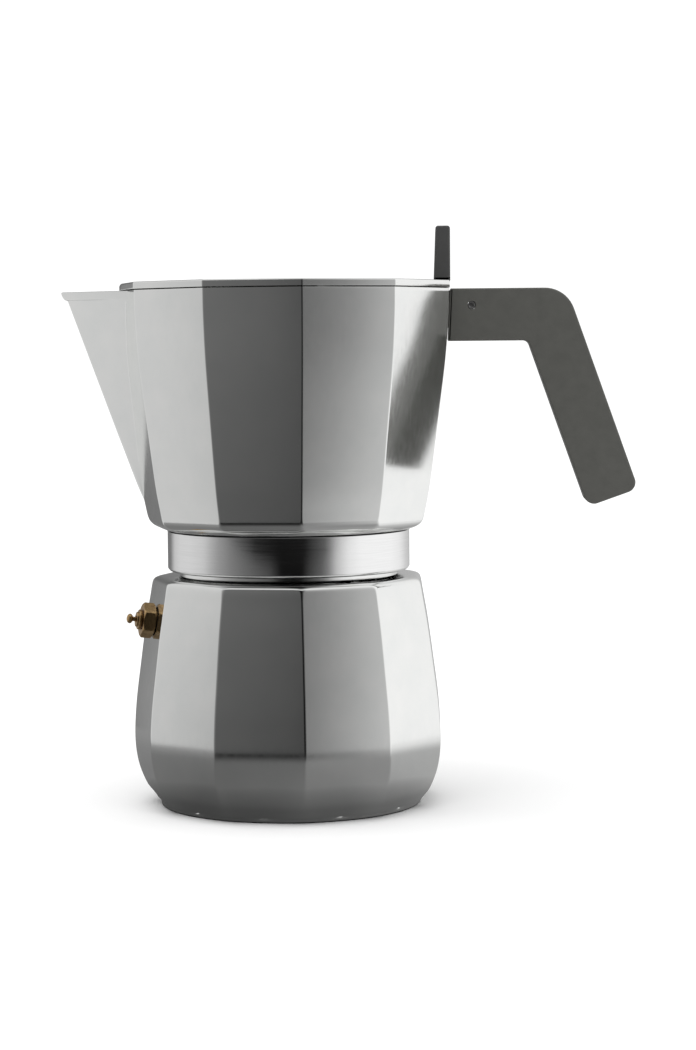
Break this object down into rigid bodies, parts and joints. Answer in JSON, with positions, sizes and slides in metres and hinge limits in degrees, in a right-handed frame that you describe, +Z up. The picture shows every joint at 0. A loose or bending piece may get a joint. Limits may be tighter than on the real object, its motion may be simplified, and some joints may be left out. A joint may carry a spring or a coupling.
{
  "type": "moka pot",
  "caption": "Faceted stovetop moka pot: boiler with safety valve, coffee funnel, screw-on collector with V spout, hook handle and hinged flat lid.",
  "frame": {"origin": "centre of the boiler's flat underside, on the surface the pot stands on", "axes": "+Z up; +X from the pot's axis to the handle, -X to the spout; +Y to the left of the handle seen from behind the handle"},
  "size_m": [0.2228, 0.1308, 0.224],
  "materials": {
    "cast_aluminium": "satin cast and linished aluminium",
    "drawn_aluminium": "drawn sheet aluminium, smooth",
    "valve_brass": "dull machined brass",
    "fastener_steel": "plain stainless steel",
    "handle_plastic": "fine matte moulded polyamide, dark grey",
    "knob_plastic": "fine matte moulded polyamide, charcoal",
    "gasket_rubber": "matte silicone rubber, off-white",
    "seal_rubber": "matte black rubber"
  },
  "bodies": {
    "boiler": {"boiler": "cast_aluminium", "valve_body": "valve_brass", "valve_washer": "seal_rubber", "valve_cap": "valve_brass", "valve_spring": "fastener_steel"},
    "valve_plunger": {"valve_pin": "valve_brass", "valve_seal": "seal_rubber"},
    "funnel": {"funnel_cup": "drawn_aluminium", "funnel_stem": "drawn_aluminium", "funnel_screen": "drawn_aluminium"},
    "seal": {"gasket": "gasket_rubber", "filter_plate": "drawn_aluminium"},
    "collector": {"collector": "cast_aluminium", "column": "cast_aluminium", "handle": "handle_plastic", "hinge_pin": "fastener_steel"},
    "lid": {"lid": "cast_aluminium", "lid_knob": "knob_plastic", "knob_screw_near": "fastener_steel", "knob_screw_far": "fastener_steel"}
  },
  "joints": [
    {"name": "valve_pin_slide", "type": "slide", "parent": "boiler", "child": "valve_plunger", "axis": [-0.9504, -0.2791, 0.1374], "range_m": [0, 0.0015], "stiffness_N_per_m": 1500, "springref_m": -0.003, "deforming": ["valve_spring"]},
    {"name": "funnel_lift", "type": "slide", "parent": "boiler", "child": "funnel", "axis": [0, 0, 1], "range_m": [0, 0.105]},
    {"name": "collector_rise", "type": "slide", "parent": "funnel", "child": "seal", "axis": [0, 0, 1], "range_m": [0, 0.0136]},
    {"name": "collector_turn", "type": "hinge", "parent": "seal", "child": "collector", "pos_m": [0, 0, 0.1], "axis": [0, 0, 1], "range_deg": [0, 1080]},
    {"name": "lid_hinge", "type": "hinge", "parent": "collector", "child": "lid", "pos_m": [0.0719, 0, 0.1935], "axis": [0, 1, 0], "range_deg": [0, 93]}
  ],
  "couplings": [
    {"joint": "collector_rise", "follows": "collector_turn", "m_per_rad": 0.0007162}
  ]
}
